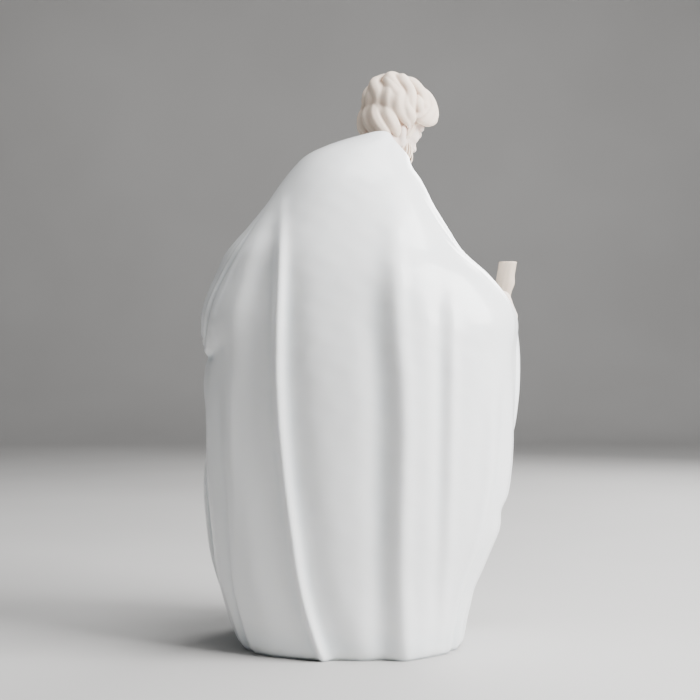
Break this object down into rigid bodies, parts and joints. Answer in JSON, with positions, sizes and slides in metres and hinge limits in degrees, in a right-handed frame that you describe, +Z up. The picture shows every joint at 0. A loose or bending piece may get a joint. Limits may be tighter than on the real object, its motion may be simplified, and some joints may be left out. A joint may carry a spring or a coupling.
{
  "type": "porcelain madonna statue group",
  "caption": "Glazed porcelain devotional group of a cloaked father with a staff behind a seated mother holding a child, on a flat foot.",
  "frame": {"origin": "on the table plane, under the middle of the cloak's foot", "axes": "+Z up, the group's front faces -Y and its cloaked back faces +Y, +X is the father's left"},
  "size_m": [0.2086, 0.1773, 0.3699],
  "materials": {
    "white_glaze": "gloss",
    "ivory_bisque": "matte",
    "beige_branch": "matte",
    "slab_bisque": "matte"
  },
  "bodies": {
    "root": {"cloak": "white_glaze", "base_slab": "slab_bisque", "father_tunic": "white_glaze", "father_head": "ivory_bisque", "staff": "beige_branch", "father_right_sleeve": "white_glaze", "father_right_hand": "ivory_bisque", "father_left_sleeve": "white_glaze", "father_left_hand": "ivory_bisque", "cloak_left_fall": "white_glaze", "cloak_right_fall": "white_glaze", "mother_gown": "white_glaze", "mother_shoe": "ivory_bisque", "mother_mantle": "white_glaze", "mother_head": "ivory_bisque", "mother_right_hand": "ivory_bisque", "mother_left_hand": "ivory_bisque", "child_body": "white_glaze", "child_head": "ivory_bisque", "child_arm": "ivory_bisque"}
  },
  "joints": []
}
